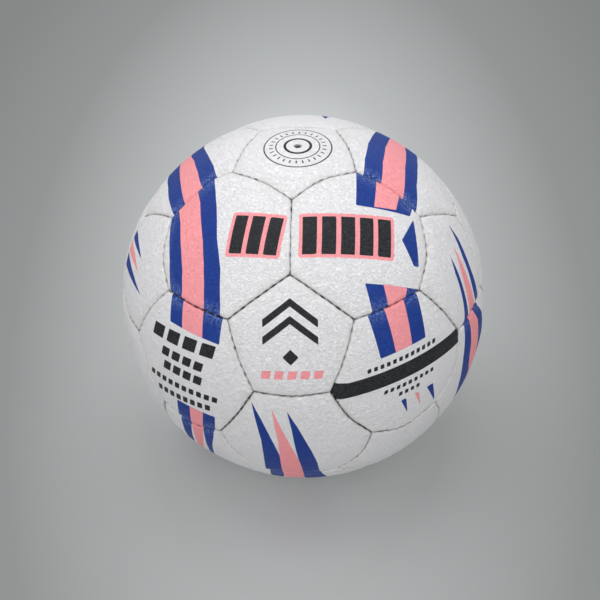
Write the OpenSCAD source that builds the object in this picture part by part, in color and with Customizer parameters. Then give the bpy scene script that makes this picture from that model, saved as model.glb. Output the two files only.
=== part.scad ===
// Hand-stitched handball: a cover of 12 pentagons and 20 hexagons, each panel lined with cloth,
// sewn together inside out over a rubber bladder with an inflation valve.
// The origin is the ball's centre. +Z runs out through the valve, and the front of the ball,
// with the first pentagon of the upper row, faces -Y.

/* [Ball] */
// Outside diameter of the inflated ball
ball_d = 188; // [150:1:200]
// Gap between the facing edges of two neighbouring panels
seam_gap = 0.3; // [0.2:0.05:0.5]
// Lean of the panels about X, in degrees, which sets the valve above the middle of its pentagon
lean_back = 2.7; // [0:0.1:4]
// Lean of the panels about Y, in degrees
lean_side = -0.7; // [-2:0.1:2]

/* [Cover panels] */
// Thickness of the synthetic leather
cover_t = 1.6; // [1.2:0.1:2.2]
// How far the turned-in edge of a panel reaches below its lining
hem_reach = 1.9; // [1.6:0.1:3]
// Reach of a panel's rounded shoulder from the middle of the seam
shoulder_w = 2.8; // [2:0.1:3.4]
// Depth of the groove between two shoulders, at the middle of the seam
shoulder_drop = 1.3; // [0.8:0.1:1.6]
// Angle between the shoulder's round and the ball's surface where they meet, in degrees
shoulder_turn = 12; // [8:1:16]

/* [Lining] */
// Thickness of the layers of cloth behind each panel
lining_t = 1.4; // [1:0.1:2]
// Clearance between the lining and the cover
lining_clear = 0.1; // [0.05:0.05:0.2]

/* [Stitching] */
// Diameter of the waxed thread
thread_d = 0.8; // [0.5:0.1:1]
// Clearance round the thread in its channel
thread_clear = 0.1; // [0.05:0.05:0.15]
// Distance from a thread's end to the corner where three seams meet
thread_end = 1.2; // [1:0.1:3]

/* [Bladder] */
// Thickness of the rubber bladder
bladder_t = 0.8; // [0.5:0.1:1.5]
// Clearance between the bladder and the panels' turned-in edges
bladder_clear = 0.3; // [0.1:0.1:0.5]
// Diameter of the patch round the valve
patch_d = 28; // [22:1:34]
// Thickness of the patch
patch_t = 0.8; // [0.5:0.1:1]

/* [Valve] */
// Diameter of the hole in the valve's panel
valve_hole_d = 3.8; // [3.6:0.1:5]
// Diameter of the guide hole for the needle
needle_d = 2.2; // [1.8:0.1:2.4]
// Depth of the guide hole in the core
needle_depth = 7; // [4:0.5:8]
// How far the nipple's face lies below the ball's surface
nipple_inset = 1; // [0.5:0.1:1.2]
// Diameter of the core
core_d = 5.6; // [4.5:0.1:7]
// Length of the core below the end of the guide hole
core_end = 2; // [1:0.5:4]
// Wall of the housing round the core
stem_wall = 1.7; // [1:0.1:2.5]
// Diameter of the housing's collar on the patch
collar_d = 16; // [14:0.5:20]
// Clearance between the valve's pieces and what they pass through
valve_clear = 0.1; // [0.05:0.05:0.15]

/* [Hidden] */
$fn = 144;
ROW = [1:5];

// Colours
cover_color = "#e4e5e6";
lining_color = "#cfc6b2";
thread_color = "#f1efe8";
bladder_color = "#2b2c2e";
patch_color = "#3a3b3d";
valve_color = "#6c6e70";

// The pattern of a truncated icosahedron, whose panels are regular pentagons and hexagons
ball_r = ball_d / 2;
edge = ball_r / (sqrt(58 + 18 * sqrt(5)) / 4);
edge_angle = 2 * asin(edge / 2 / ball_r);
pent_corner = asin(edge / (2 * sin(36)) / ball_r);
hex_corner = asin(edge / ball_r);
pent_mid = atan(tan(pent_corner) * cos(36));
hex_mid = atan(tan(hex_corner) * cos(30));
pent_step = atan(2);

// Polar angles of the rows, from the valve's pentagon down
hex_top_polar = pent_mid + hex_mid;
hex_upper_polar = hex_top_polar + 2 * hex_mid;

// Radii of the layers, from the outside in
cover_in_r = ball_r - cover_t;
lining_r = cover_in_r - lining_clear;
lining_in_r = lining_r - lining_t;
hem_r = lining_in_r - hem_reach;
bladder_r = hem_r - bladder_clear;
patch_in_r = bladder_r + valve_clear;
patch_r = patch_in_r + patch_t;

// The groove between two shoulders, in a plane square to the seam
crest_r = sqrt(ball_r ^ 2 - shoulder_w ^ 2);
crest_drop = crest_r - (ball_r - shoulder_drop);
crest_slope = shoulder_turn - asin(shoulder_w / ball_r);
crest_chord = sqrt(shoulder_w ^ 2 + crest_drop ^ 2);
shoulder_r = crest_chord / (2 * sin(atan(crest_drop / shoulder_w) - crest_slope));

// The thread runs midway between the groove's floor and the end of the turned-in edge
thread_r = (ball_r - shoulder_drop + hem_r) / 2;

// The valve's heights above the ball's centre
stem_d = core_d + 2 * (valve_clear + stem_wall);
stem_top = sqrt(cover_in_r ^ 2 - (stem_d / 2) ^ 2) - valve_clear;
core_top = stem_top - stem_wall - valve_clear;
core_len = needle_depth + core_end;
stem_bottom = core_top - core_len - valve_clear - stem_wall;
nipple_top = ball_r - nipple_inset;
nipple_d = valve_hole_d - 2 * valve_clear;
guide_d = needle_d + 2 * valve_clear;
collar_r = lining_in_r - bladder_clear;

// Overrun of every cut past the surface that it leaves
cut_over = 2;

function upper_turn(k) = -90 + 72 * (k - 1);
function lower_turn(k) = -54 + 72 * (k - 1);

// Puts a panel's middle, modelled on +Z, at its polar angle and turn about the valve's axis
module place(polar, turn) {
    rotate([lean_back, lean_side, 0])
        rotate([0, polar, turn])
            children();
}

// Turns +Z to the inward normal of each side's seam plane, and +X to the side's middle
module at_sides(sides, mid, first) {
    for (k = [0:sides - 1])
        rotate([0, mid - 90, first + k * 360 / sides])
            children();
}

// A ball whose poles lie to the sides, clear of a panel modelled on +Z
module ball(r) {
    rotate([0, 90, 0])
        sphere(r = r);
}

// The wedge of a ball of radius r between the seam planes, each moved in by inset
module sector(r, inset, sides, mid, first) {
    block = ball_d + cut_over;
    difference() {
        ball(r);
        at_sides(sides, mid, first)
            translate([-block / 2, -block / 2, inset - block])
                cube(block);
    }
}

// Turns a flat outline about the ball's centre, from +X, half of the angle to each side
module seam_arc(angle) {
    rotate([0, 0, -angle / 2])
        rotate_extrude(angle = angle)
            children();
}

// Cuts the rounded shoulder along one seam, past both its corners. The cut reaches beyond the
// shoulder's end, to where its round stands clear of the ball's surface.
module shoulder_cut() {
    centre = crest_r - shoulder_r * cos(crest_slope);
    seam_arc(edge_angle + 2 * shoulder_w / ball_r * 180 / PI)
        difference() {
            translate([centre, 0])
                square([ball_r - centre + cut_over, shoulder_w + shoulder_r * sin(shoulder_turn)]);
            translate([centre, shoulder_w + shoulder_r * sin(crest_slope)])
                circle(r = shoulder_r);
        }
}

// A round bar along one seam, which stops short of its corners
module seam_bar(d, end) {
    seam_arc(edge_angle - 2 * end / thread_r * 180 / PI)
        translate([thread_r, 0])
            circle(d = d);
}

// A cover panel: a curved skin whose edges turn in towards the bladder
module panel(sides, mid, first) {
    difference() {
        sector(ball_r, seam_gap / 2, sides, mid, first);
        sector(cover_in_r, seam_gap / 2 + cover_t, sides, mid, first);
        ball(hem_r);
        at_sides(sides, mid, first) shoulder_cut();
        at_sides(sides, mid, first) seam_bar(thread_d + 2 * thread_clear, thread_end - thread_clear);
    }
}

// A lining piece: a curved plate of cloth inside a panel's turned-in edges
module lining(sides, mid, first) {
    difference() {
        sector(lining_r, seam_gap / 2 + cover_t + lining_clear, sides, mid, first);
        ball(lining_in_r);
    }
}

// Round bar along the valve's axis, between two heights above the ball's centre
module valve_bar(d, from, to) {
    translate([0, 0, from])
        cylinder(h = to - from, d = d);
}

module pentagon_valve() {
    color(cover_color)
        difference() {
            place(0, upper_turn(1)) panel(5, pent_mid, 36);
            valve_bar(valve_hole_d, cover_in_r - cut_over, ball_r + cut_over);
        }
}

module pentagon_base() {
    color(cover_color) place(180, lower_turn(1) + 180) panel(5, pent_mid, 36);
}

module pentagon_upper(k) {
    color(cover_color) place(pent_step, upper_turn(k)) panel(5, pent_mid, 0);
}

module pentagon_lower(k) {
    color(cover_color) place(180 - pent_step, lower_turn(k)) panel(5, pent_mid, 36);
}

module hexagon_top(k) {
    color(cover_color) place(hex_top_polar, lower_turn(k)) panel(6, hex_mid, 0);
}

module hexagon_upper(k) {
    color(cover_color) place(hex_upper_polar, lower_turn(k)) panel(6, hex_mid, 0);
}

module hexagon_lower(k) {
    color(cover_color) place(180 - hex_upper_polar, upper_turn(k)) panel(6, hex_mid, 0);
}

module hexagon_base(k) {
    color(cover_color) place(180 - hex_top_polar, upper_turn(k)) panel(6, hex_mid, 0);
}

module lining_pentagons() {
    color(lining_color) {
        difference() {
            place(0, upper_turn(1)) lining(5, pent_mid, 36);
            valve_bar(stem_d + 2 * valve_clear, lining_in_r - cut_over, lining_r + cut_over);
        }
        place(180, lower_turn(1) + 180) lining(5, pent_mid, 36);
        for (k = ROW) {
            place(pent_step, upper_turn(k)) lining(5, pent_mid, 0);
            place(180 - pent_step, lower_turn(k)) lining(5, pent_mid, 36);
        }
    }
}

module lining_hexagons() {
    color(lining_color)
        for (k = ROW) {
            place(hex_top_polar, lower_turn(k)) lining(6, hex_mid, 0);
            place(hex_upper_polar, lower_turn(k)) lining(6, hex_mid, 0);
            place(180 - hex_upper_polar, upper_turn(k)) lining(6, hex_mid, 0);
            place(180 - hex_top_polar, upper_turn(k)) lining(6, hex_mid, 0);
        }
}

// Thread in the seam between two hexagons, which runs from a pentagon's corner to the next one
module hexagon_thread(turn) {
    rotate([0, pent_step / 2 - 90, turn])
        rotate([90, 0, 0])
            seam_bar(thread_d, thread_end);
}

module thread_pentagon_seams() {
    color(thread_color) {
        place(0, upper_turn(1)) at_sides(5, pent_mid, 36) seam_bar(thread_d, thread_end);
        place(180, lower_turn(1) + 180) at_sides(5, pent_mid, 36) seam_bar(thread_d, thread_end);
        for (k = ROW) {
            place(pent_step, upper_turn(k)) at_sides(5, pent_mid, 0) seam_bar(thread_d, thread_end);
            place(180 - pent_step, lower_turn(k)) at_sides(5, pent_mid, 36) seam_bar(thread_d, thread_end);
        }
    }
}

module thread_hexagon_seams() {
    color(thread_color)
        for (k = ROW) {
            place(pent_step, upper_turn(k))
                for (turn = [180, 108, 36, -36]) hexagon_thread(turn);
            place(180 - pent_step, lower_turn(k))
                for (turn = [0, 72]) hexagon_thread(turn);
        }
}

module bladder() {
    color(bladder_color)
        difference() {
            ball(bladder_r);
            ball(bladder_r - bladder_t);
            valve_bar(stem_d + 2 * valve_clear, bladder_r - bladder_t - cut_over, bladder_r + cut_over);
        }
}

// A round piece of a shell about the ball's centre, where the valve passes through it
module valve_shell(d, in_r, out_r) {
    difference() {
        intersection() {
            ball(out_r);
            valve_bar(d, in_r - cut_over, out_r + cut_over);
        }
        ball(in_r);
    }
}

module valve_patch() {
    color(patch_color)
        difference() {
            valve_shell(patch_d, patch_in_r, patch_r);
            valve_bar(stem_d + 2 * valve_clear, patch_in_r - cut_over, patch_r + cut_over);
        }
}

module valve_housing() {
    color(valve_color)
        difference() {
            union() {
                valve_bar(stem_d, stem_bottom, stem_top);
                valve_bar(nipple_d, stem_top - stem_wall / 2, nipple_top);
                valve_shell(collar_d, patch_r + valve_clear, collar_r);
            }
            valve_bar(core_d + 2 * valve_clear, core_top - core_len - valve_clear, core_top + valve_clear);
            valve_bar(guide_d, core_top, nipple_top + cut_over);
        }
}

module valve_core() {
    color(bladder_color)
        difference() {
            valve_bar(core_d, core_top - core_len, core_top);
            valve_bar(needle_d, core_top - needle_depth, core_top + cut_over);
        }
}

pentagon_valve();
pentagon_base();
for (k = ROW) {
    pentagon_upper(k);
    pentagon_lower(k);
    hexagon_top(k);
    hexagon_upper(k);
    hexagon_lower(k);
    hexagon_base(k);
}
lining_pentagons();
lining_hexagons();
thread_pentagon_seams();
thread_hexagon_seams();
bladder();
valve_patch();
valve_housing();
valve_core();
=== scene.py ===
# %% [markdown]
# # A stitched handball
#
# The CAD model already has every piece of this ball at its true size: 32 cover panels, their
# linings, the thread, the bladder and the valve. This lesson gives it the looks that flat CAD
# surfaces lack: pillowed leather, puckered seams, single stitches, printed bands and rubber.
#
# Everything that we build is placed in that frame, in metres, and rides on its one body, "root".

import math
from collections import namedtuple

import bpy
import numpy as np
from mathutils import Matrix, Vector


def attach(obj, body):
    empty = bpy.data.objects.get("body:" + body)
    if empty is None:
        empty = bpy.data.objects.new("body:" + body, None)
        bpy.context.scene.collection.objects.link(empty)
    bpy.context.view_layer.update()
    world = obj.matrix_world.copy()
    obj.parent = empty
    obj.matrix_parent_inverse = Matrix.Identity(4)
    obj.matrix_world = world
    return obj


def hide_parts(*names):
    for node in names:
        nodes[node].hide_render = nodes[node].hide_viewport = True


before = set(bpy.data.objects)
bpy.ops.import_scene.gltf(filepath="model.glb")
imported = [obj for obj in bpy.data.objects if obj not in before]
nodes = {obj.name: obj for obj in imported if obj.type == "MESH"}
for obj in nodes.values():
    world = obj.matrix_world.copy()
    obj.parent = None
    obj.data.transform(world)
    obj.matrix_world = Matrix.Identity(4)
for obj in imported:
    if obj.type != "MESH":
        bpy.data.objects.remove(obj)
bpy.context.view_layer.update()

# %% [markdown]
# ## The pattern of the cover
#
# A ball of 12 pentagons and 20 hexagons is a truncated icosahedron blown up to a sphere. Every
# panel is the same flat pattern turned to its own place, so one pattern with a list of turns
# makes them all, which is how the CAD source does it too. Lengths are in millimetres here,
# because that is how a maker of balls thinks, and become metres when a mesh is made.

# %% Angles of the truncated icosahedron
BALL_R = 94.0
LEAN_BACK, LEAN_SIDE = 2.7, -0.7
ROW = range(1, 6)

edge_ratio = 4 / math.sqrt(58 + 18 * math.sqrt(5))
SEAM_ANGLE = 2 * math.asin(edge_ratio / 2)
PENT_CORNER = math.asin(edge_ratio / (2 * math.sin(math.radians(36))))
HEX_CORNER = math.asin(edge_ratio)
PENT_MIDDLE = math.atan(math.tan(PENT_CORNER) * math.cos(math.radians(36)))
HEX_MIDDLE = math.atan(math.tan(HEX_CORNER) * math.cos(math.radians(30)))
PENT_STEP = math.degrees(math.atan(2))
HEX_TOP = math.degrees(PENT_MIDDLE + HEX_MIDDLE)
HEX_UPPER = HEX_TOP + math.degrees(2 * HEX_MIDDLE)
print("seam length in mm:", round(SEAM_ANGLE * BALL_R, 2))


# %% Turns, and the list of panels
def turn(axis, degrees):
    """A turn about an axis, as a 3 by 3 matrix."""
    return np.array(Matrix.Rotation(math.radians(degrees), 3, axis))


Panel = namedtuple("Panel", "name sides first place")
LEAN = turn("Y", LEAN_SIDE) @ turn("X", LEAN_BACK)


def panel(name, sides, first, polar, azimuth):
    return Panel(name, sides, first, LEAN @ turn("Z", azimuth) @ turn("Y", polar))


PANELS = [panel("pentagon_valve", 5, 36, 0, -90), panel("pentagon_base", 5, 36, 180, 126)]
for k in ROW:
    front, between = 72 * (k - 1) - 90, 72 * (k - 1) - 54
    PANELS += [
        panel(f"pentagon_upper_{k}", 5, 0, PENT_STEP, front),
        panel(f"pentagon_lower_{k}", 5, 36, 180 - PENT_STEP, between),
        panel(f"hexagon_top_{k}", 6, 0, HEX_TOP, between),
        panel(f"hexagon_upper_{k}", 6, 0, HEX_UPPER, between),
        panel(f"hexagon_lower_{k}", 6, 0, 180 - HEX_UPPER, front),
        panel(f"hexagon_base_{k}", 6, 0, 180 - HEX_TOP, front),
    ]
print("panels:", len(PANELS))

# %% [markdown]
# ## The seams
#
# A seam is the line where two panels meet. Each panel lists its own sides, and two panels that
# name the same middle share a seam. In a new ball no seam is perfectly straight: the air pushes
# the panels out, and the stronger panel pulls the seam its way. For each seam that the photograph
# shows we note how far it bows and how open it is, and leave the others to seeded chance.

# %% Find the seams
Seam = namedtuple("Seam", "middle along panels")


def unit(vectors):
    return vectors / np.linalg.norm(vectors, axis=-1, keepdims=True)


def side_turns(shape):
    return [math.radians(shape.first + 360 * side / shape.sides) for side in range(shape.sides)]


def side_slope(shape):
    """The angle between a panel's middle and the middle of each of its sides."""
    return PENT_MIDDLE if shape.sides == 5 else HEX_MIDDLE


def side_frames(shape):
    """For each side of a panel: its middle, its inward normal and the way along it."""
    slope = side_slope(shape)
    for angle in side_turns(shape):
        out = np.array([math.cos(angle), math.sin(angle), 0])
        up = np.array([0, 0, 1])
        middle = math.sin(slope) * out + math.cos(slope) * up
        inward = math.sin(slope) * up - math.cos(slope) * out
        along = np.array([-math.sin(angle), math.cos(angle), 0])
        yield shape.place @ middle, shape.place @ inward, shape.place @ along


def seam_key(middle):
    return tuple(np.round(middle, 3) + 0.0)


SEAMS = {}
for shape in PANELS:
    for middle, inward, along in side_frames(shape):
        known = SEAMS.get(seam_key(middle))
        if known is None:
            SEAMS[seam_key(middle)] = Seam(middle, along, [shape.name])
        else:
            known.panels.append(shape.name)
print("seams:", len(SEAMS), "each between", {len(seam.panels) for seam in SEAMS.values()}, "panels")

# %% How the seams of the front bow and open
# The panel that a seam bows towards, and its neighbour there: (mm at the seam's middle, how open
# the seam is from 0, closed, to 1). None leaves it to chance
FRONT_SEAMS = {
    "pentagon_valve": {"hexagon_top_5": (1.8, 0.5), "hexagon_top_1": (3.0, 0.54),
                       "hexagon_top_3": (None, 0.05)},
    "pentagon_upper_2": {"hexagon_top_1": (3.8, 0.5), "hexagon_upper_1": (0.9, None)},
    "pentagon_upper_5": {"hexagon_top_5": (4.0, 0.45), "hexagon_upper_5": (1.3, 0.35)},
    "pentagon_lower_1": {"hexagon_upper_1": (7.0, 0.85), "hexagon_lower_1": (3.8, 0.7)},
    "pentagon_lower_5": {"hexagon_upper_5": (4.6, 0.65), "hexagon_lower_1": (3.0, 0.15)},
    "hexagon_top_1": {"pentagon_upper_1": (0.0, 0.76)},
    "hexagon_top_2": {"pentagon_valve": (1.0, 0.5), "hexagon_top_1": (2.9, 0.1),
                      "hexagon_top_3": (None, 0.2)},
    "hexagon_top_4": {"pentagon_valve": (1.2, 0.3), "pentagon_upper_5": (1.0, None),
                      "hexagon_top_5": (2.0, 0.02)},
    "hexagon_top_5": {"pentagon_upper_1": (0.0, 0.76), "hexagon_top_1": (0.0, 0.5)},
    "hexagon_upper_1": {"pentagon_upper_1": (0.9, 0.5), "hexagon_top_1": (1.0, 0.5)},
    "hexagon_upper_4": {"pentagon_upper_5": (3.0, None)},
    "hexagon_upper_5": {"pentagon_upper_1": (0.9, 0.5), "hexagon_top_5": (1.1, 0.78)},
    "hexagon_lower_1": {"pentagon_upper_1": (2.0, 0.8), "hexagon_upper_1": (2.6, 0.9),
                        "hexagon_upper_5": (1.0, None)},
    "hexagon_lower_2": {"pentagon_lower_1": (1.6, None), "hexagon_upper_1": (7.0, 0.15)},
    "hexagon_lower_5": {"pentagon_upper_5": (2.0, None)},
    "hexagon_base_1": {"hexagon_lower_1": (3.0, None)},
}


def noted(seam):
    """The panel that a seam bows towards, its neighbour, and the noted bow and openness."""
    first, second = seam.panels
    if first in FRONT_SEAMS.get(second, {}):
        first, second = second, first
    return first, second, *FRONT_SEAMS.get(first, {}).get(second, (None, None))


print("seams noted:", sum(len(row) for row in FRONT_SEAMS.values()), "of", len(SEAMS))

# %% How each seam pulls the panels
# In mm: how far a bow's pull reaches, and the most that the other seams bow
BOW_REACH = 15.0
BOW_SPREAD = 0.7
# (panel, flat place on it, flat pull) in mm, for seams that a single bow doesn't describe
TUGS = [("hexagon_top_5", (-26, 25), (-2.2, 1.3))]
TUG_REACH = 9.0

place_of = {shape.name: shape.place for shape in PANELS}
chance = np.random.default_rng(7)
PULLS = []
for seam in SEAMS.values():
    first, second, bow, _ = noted(seam)
    by_chance = chance.uniform(-BOW_SPREAD, BOW_SPREAD)
    bow = by_chance if bow is None else bow
    aside = place_of[first][:, 2] - place_of[second][:, 2]
    PULLS.append((seam.middle, bow / BALL_R * unit(aside), BOW_REACH))


def flat_turn(x, y):
    """The direction from the ball's centre to a flat place on a panel."""
    angle, way = math.hypot(x, y) / BALL_R, math.atan2(x, -y)
    aside = math.sin(angle)
    return np.array([aside * math.cos(way), aside * math.sin(way), math.cos(angle)])


for name, (x, y), (pull_x, pull_y) in TUGS:
    start = place_of[name] @ flat_turn(x, y)
    end = place_of[name] @ flat_turn(x + pull_x, y + pull_y)
    PULLS.append((start, end - start, TUG_REACH))
print("pulls on the panels:", len(PULLS))


def bowed(directions):
    """Directions from the ball's centre, moved along the ball by the pull of the seams."""
    moved = directions.copy()
    for middle, pull, reach in PULLS:
        away = np.arccos(np.clip(directions @ middle, -1, 1)) * BALL_R / reach
        moved += np.exp(-(away**2))[..., None] * pull
    return unit(moved)


# %% [markdown]
# ## The prints
#
# Blue and pink bands run down the ball, and pointed flashes in the same colours fill some of the
# panels. They are printed on the flat panels before these are cut out, so the bands don't quite
# meet at the seams. An image would need a texture file; instead each print is an outline drawn on
# the flat panel, and every vertex stores how far it lies inside the outline. The material turns
# that distance into ink with a sharp border, at any zoom. Outlines are in millimetres from the
# panel's middle, to the right and up towards the valve.


# %% Helpers for outlines
def strip(one_side, other_side):
    return list(one_side) + list(other_side)[::-1]


def band(outer_left, left, right, outer_right):
    """A blue band with a pink stripe along its middle, from the four lines that bound them."""
    return {"blue": [strip(outer_left, outer_right)], "pink": [strip(left, right)]}


TIP_EXTRA = 1.6


def flash(tip, left, right):
    """A pointed flash. Its tip is drawn longer, as the finest part falls between two vertices."""
    tip = np.array(tip, float)
    reach = tip - (np.array(left[0]) + np.array(right[0])) / 2
    return strip([tuple(tip + TIP_EXTRA * reach / np.linalg.norm(reach)), *left], right)


def bars(origin, way, count, step, width, height, slant):
    """A row of slanted bars from the origin along a direction in degrees."""
    along = np.array([math.cos(math.radians(way)), math.sin(math.radians(way))])
    up = np.array([-along[1], along[0]])
    rows = []
    for k in range(count):
        foot = np.array(origin) + k * step * along
        shift = slant * along + height * up
        rows.append([tuple(foot), tuple(foot + width * along),
                     tuple(foot + width * along + shift), tuple(foot + shift)])
    return rows


def joined(*prints):
    """Several prints on one panel."""
    total = {}
    for part in prints:
        for ink, outlines in part.items():
            total.setdefault(ink, []).extend(outlines)
    return total


# %% Prints on the upper panels
PRINTS = {}
PRINTS["hexagon_top_5"] = joined(
    band([(-43, 4), (-39, -1), (-33, -10), (-26, -20), (-20.5, -30), (-18, -34), (-16, -40)],
         [(-41, 8.5), (-37, 5), (-30, -1), (-20, -14), (-14.6, -22), (-10.4, -31.5), (-9, -40)],
         [(-36.5, 21.5), (-32.3, 18), (-24.6, 12.3), (-17, 3.8), (-10, -4.6), (-3.8, -14.2),
          (0.8, -23), (4.6, -32.3), (6.6, -40)],
         [(-31, 30.6), (-27.3, 27.3), (-20, 20.8), (-13, 13.5), (-8, 7), (-3, -0.5), (2, -7),
          (6.2, -13), (10, -21.5), (13.8, -30), (17, -40)]),
    {"boxed": bars((6.5, -4.5), 23, 3, 8.8, 6.5, 19.5, 1.2)})
PRINTS["hexagon_top_1"] = joined(
    band([(7.3, 17), (19, 33.5), (22.5, 38.5)], [(15.8, 12.6), (26.5, 25.4), (31, 30.8)],
         [(26.5, 7), (29.6, 10), (33.8, 13.5), (39, 18)], [(32.5, 1.5), (37, 5), (43, 9)]),
    band([(-7.8, -20), (-9.5, -33.8), (-10.3, -40)], [(1, -24), (-0.2, -33.8), (-0.9, -40)],
         [(13, -30.7), (11, -33.8), (10, -40)], [(21, -34.5), (20, -36.5), (19, -40)]),
    {"blue": [[(20.8, -8), (33.5, -0.5), (24, -23.5), (21.2, -22.3)]],
     "boxed": bars((-29.5, 6), -26.5, 5, 9.4, 7, 19.5, 1.2)})
PRINTS["hexagon_top_4"] = band(
    [(23.5, 28), (20.8, 25), (12.3, 20.4), (0, 11.2), (-13.8, 0), (-30, -11), (-45, -22)],
    [(31, 20), (25.4, 17), (13.8, 10.8), (0, 1.5), (-12.3, -9.2), (-28, -18.5), (-43, -28)],
    [(38, 10), (31.5, 7), (17, 0), (6.2, -6), (-1.5, -10.8), (-18, -21), (-34, -32)],
    [(43, 3.5), (38.5, 1.2), (25.4, -6), (13.8, -11.5), (2.3, -18.8), (-12, -28), (-28, -38)])
PRINTS["hexagon_top_2"] = band(
    [(-27, 32), (-19.6, 30), (-9.2, 27.3), (6.2, 20.8), (17.7, 13.8), (29.2, 6.2), (42, -3)],
    [(-30, 22.5), (-23, 20.8), (-9.2, 17.3), (6.2, 10.8), (21.5, 1.5), (36, -9)],
    [(-36, 10.3), (-30, 9.2), (-20, 7), (-9.2, 4.2), (3, -0.8), (17.7, -7.3), (32, -16)],
    [(-40, 2), (-32.3, 1.2), (-20, -0.4), (-7, -4.6), (6.2, -10), (21.5, -18), (34, -26)])
PRINTS["pentagon_upper_1"] = {
    "black": [[(-13.5, 7), (0, 17.5), (13.5, 7), (13.5, 11), (0, 21.5), (-13.5, 11)],
              [(-13.5, -1.5), (0, 9), (13.5, -1.5), (13.5, 2.5), (0, 13), (-13.5, 2.5)],
              [(-4, -7.5), (0, -3.5), (4, -7.5), (0, -11.5)]],
    "pink": bars((-15, -19), 0, 5, 6.4, 4.4, 4.4, 1)}
PRINTS["pentagon_upper_2"] = {
    "blue": [flash((-2, 5.8), [(-5, -0.8), (-6.5, -7.7), (-8.3, -15.4), (-10.3, -22.9), (-14, -31)],
                   [(-2.3, -0.2), (-3.8, -8.9), (-5, -16.1), (-6.3, -24.2), (-6.8, -31)]),
             flash((14, 14.8), [(10.8, 6), (8.3, -1), (7, -9), (5.2, -17), (4.4, -26), (4, -31)],
                   [(14.2, 6.6), (12.6, -1.3), (11, -10), (10.4, -20), (9.3, -31)])],
    "pink": [flash((5.2, 7), [(2.8, 2), (-0.1, -4.6), (-2.3, -12.9), (-4.1, -20.5), (-5.8, -31)],
                   [(5, 0.6), (4, -7.5), (3.5, -15.5), (2.9, -24), (2.8, -31)])]}
PRINTS["pentagon_upper_5"] = {
    "blue": [flash((0, 4.5), [(-10, 5.6), (-20, 5.8), (-32, 3.4), (-40, 1)],
                   [(-10, 3.1), (-20, 1.4), (-32, -1.5), (-40, -4)]),
             flash((12.3, -7.9), [(0, -6.2), (-12, -6.2), (-20, -6.9), (-30, -9.6), (-38, -12)],
                   [(0, -9.4), (-12, -11.2), (-20, -13.2), (-28, -16), (-38, -19)])],
    "pink": [flash((2, -1.6), [(-10, 0.4), (-20, -0.6), (-32, -2.8), (-40, -5)],
                   [(-10, -3.4), (-18, -5), (-32, -8.4), (-40, -11)])]}
PRINTS["hexagon_top_3"] = {
    "blue": [flash((-12.5, 16), [(-13.8, 6), (-15, -6), (-17, -34)],
                   [(-10, 6), (-8, -6), (-8, -34)]),
             flash((3, -4), [(2, -16), (1, -34)], [(7, -16), (10, -34)])],
    "pink": [flash((-5, 4), [(-5.5, -8), (-7.5, -34)], [(-1, -8), (0.5, -34)])]}

# %% Prints on the middle and lower panels
PRINTS["hexagon_upper_5"] = joined(
    band([(-18.3, 39), (-16.5, 33), (-12.7, 20)], [(-9.7, 39), (-8, 33), (-4.3, 20)],
         [(4, 39), (5.5, 33), (8.7, 20)], [(16.3, 39), (17, 33), (18.5, 20)]),
    band([(-6, -24), (-7.5, -34), (-8.4, -40)], [(2.5, -24), (1, -34), (0.1, -40)],
         [(11, -24), (9, -34), (7.8, -40)], [(18, -24), (16.5, -34), (15.6, -40)]),
    {"black": bars((-24, 8.2), 4.5, 4, 10.8, 8, 7, 1.4) + bars((-16, 0.4), 3, 4, 7.2, 5.2, 5, 1.2)
     + bars((-14.3, -7.2), 2, 4, 6.7, 4.9, 5, 1.1) + bars((-25.3, -16.8), 4, 10, 4.7, 3.1, 3.5, 0.8)
     + bars((-20.3, -24.6), 6, 8, 4.7, 3.1, 3.7, 0.8)})
PRINTS["hexagon_upper_1"] = joined(
    band([(-12.7, 40), (-12.5, 33.8), (-11.8, 10)], [(-3, 40), (-3, 33.8), (-3.2, 10)],
         [(9.4, 40), (8.8, 33.8), (6.5, 10)], [(18.1, 40), (17.5, 33.8), (15.2, 10)]),
    {"black": [[(-44, 6), (-36, 4), (-30, 2.5), (44, 2.5), (44, -6), (-34, -6), (-44, -4)]]
     + bars((-20, 4.4), 0, 12, 3.5, 2.1, 2.3, 0.5) + bars((-13, -10.8), 0, 9, 3.5, 2.1, 2.3, 0.5)
     + bars((-5, -15.4), 0, 4, 3.5, 2.1, 2.3, 0.5),
     "blue": [[(-3.8, -18.8), (-0.6, -18.8), (0.4, -29.6)],
              [(12.5, -18.8), (16.8, -18.8), (19.2, -33.5)]],
     "pink": [[(4.6, -18.5), (7.3, -19), (8.8, -29.6)]]})
PRINTS["hexagon_lower_1"] = {
    "blue": [flash((-20.5, 27), [(-18.5, 13), (-17, 2), (-16.8, -10), (-17, -20), (-18, -40)],
                   [(-16, 17), (-13, 8), (-10.5, -1), (-8.6, -10), (-8, -20), (-8, -40)]),
             flash((-2.5, 22.5), [(-1.2, 12), (-0.3, 0), (0.4, -9), (1, -17), (1, -40)],
                   [(2, 13), (5, 4), (7.5, -5), (9.3, -14), (10, -20), (10.8, -40)])],
    "pink": [flash((-10.3, 24), [(-9.5, 13), (-8.5, 3), (-8.4, -8), (-8.6, -20), (-9, -40)],
                   [(-6.5, 13), (-3, 2), (-0.5, -8), (1.2, -17), (1.8, -26), (1.9, -40)])]}
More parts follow.
